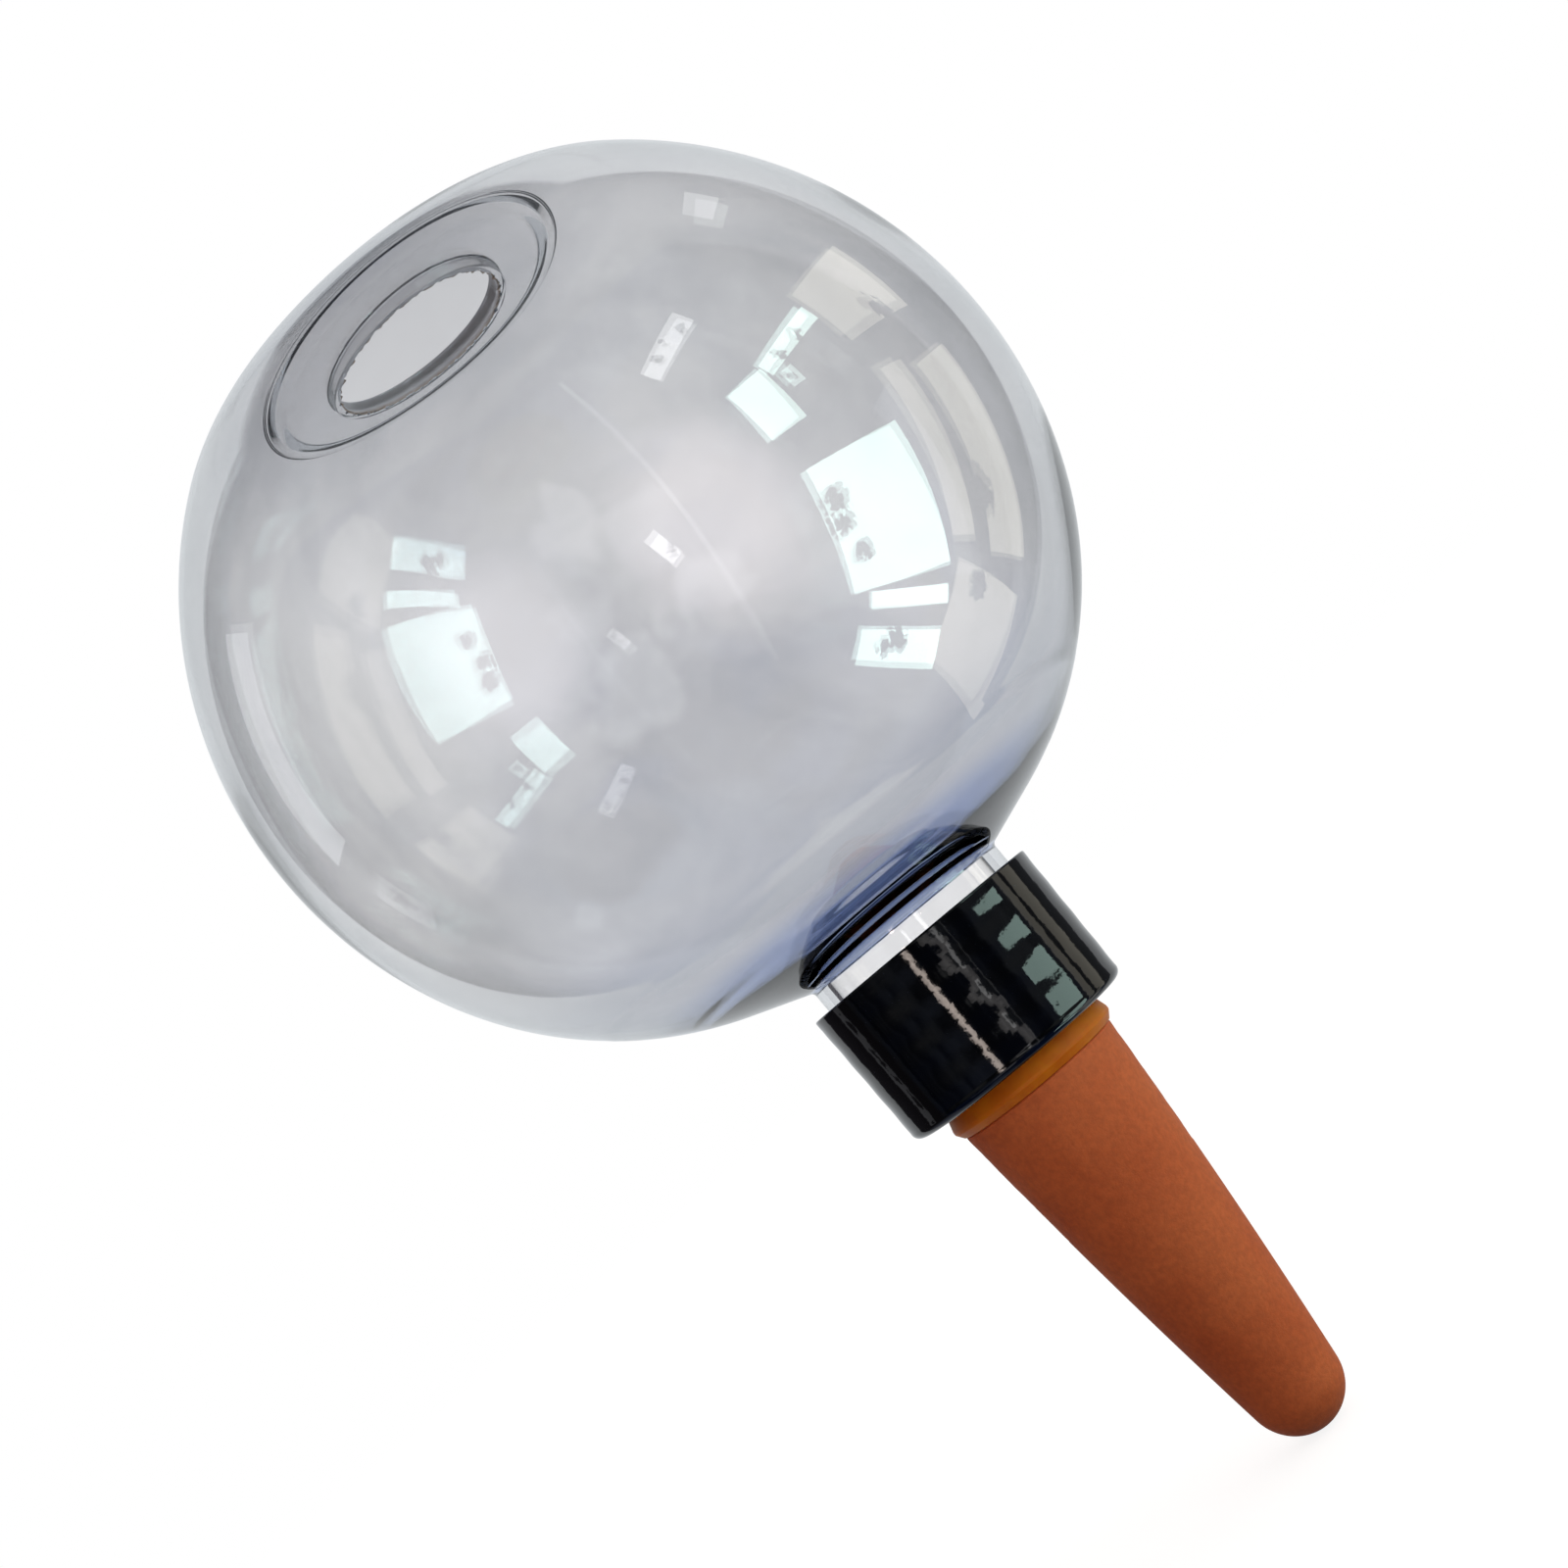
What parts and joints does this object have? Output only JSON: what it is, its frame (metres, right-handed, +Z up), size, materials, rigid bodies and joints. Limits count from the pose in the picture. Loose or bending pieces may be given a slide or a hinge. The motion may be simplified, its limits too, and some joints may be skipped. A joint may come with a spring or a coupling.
{
  "type": "watering globe",
  "caption": "Clear blown-plastic water globe that screws by its neck into a ring cap carrying a rubber collar and a hollow porous clay spike, for slow watering of a potted plant.",
  "frame": {"origin": "on the axis at the soil line, where the clay spike leaves the rubber collar", "axes": "+Z up along the axis of symmetry, from the spike's tip to the globe; X and Y are free, because the solids are turned about Z"},
  "size_m": [0.1, 0.1, 0.1597],
  "materials": {
    "clear_plastic": "clear, blown and glossy, with a faint grey tint",
    "black_plastic": "smooth gloss black",
    "amber_rubber": "amber, slightly see-through",
    "terracotta": "matt, fine grained and porous"
  },
  "bodies": {
    "spike": {"clay_cone": "terracotta", "rubber_collar": "amber_rubber"},
    "cap": {"screw_cap": "black_plastic"},
    "globe": {"globe": "clear_plastic"}
  },
  "joints": [
    {"name": "cap_turn", "type": "hinge", "parent": "spike", "child": "cap", "pos_m": [0, 0, 0], "axis": [0, 0, -1], "range_deg": [0, 540]},
    {"name": "globe_lift", "type": "slide", "parent": "spike", "child": "globe", "axis": [0, 0, 1], "range_m": [0, 0.00635]}
  ],
  "couplings": [
    {"joint": "cap_turn", "follows": "globe_lift", "rad_per_m": 1484.2}
  ]
}
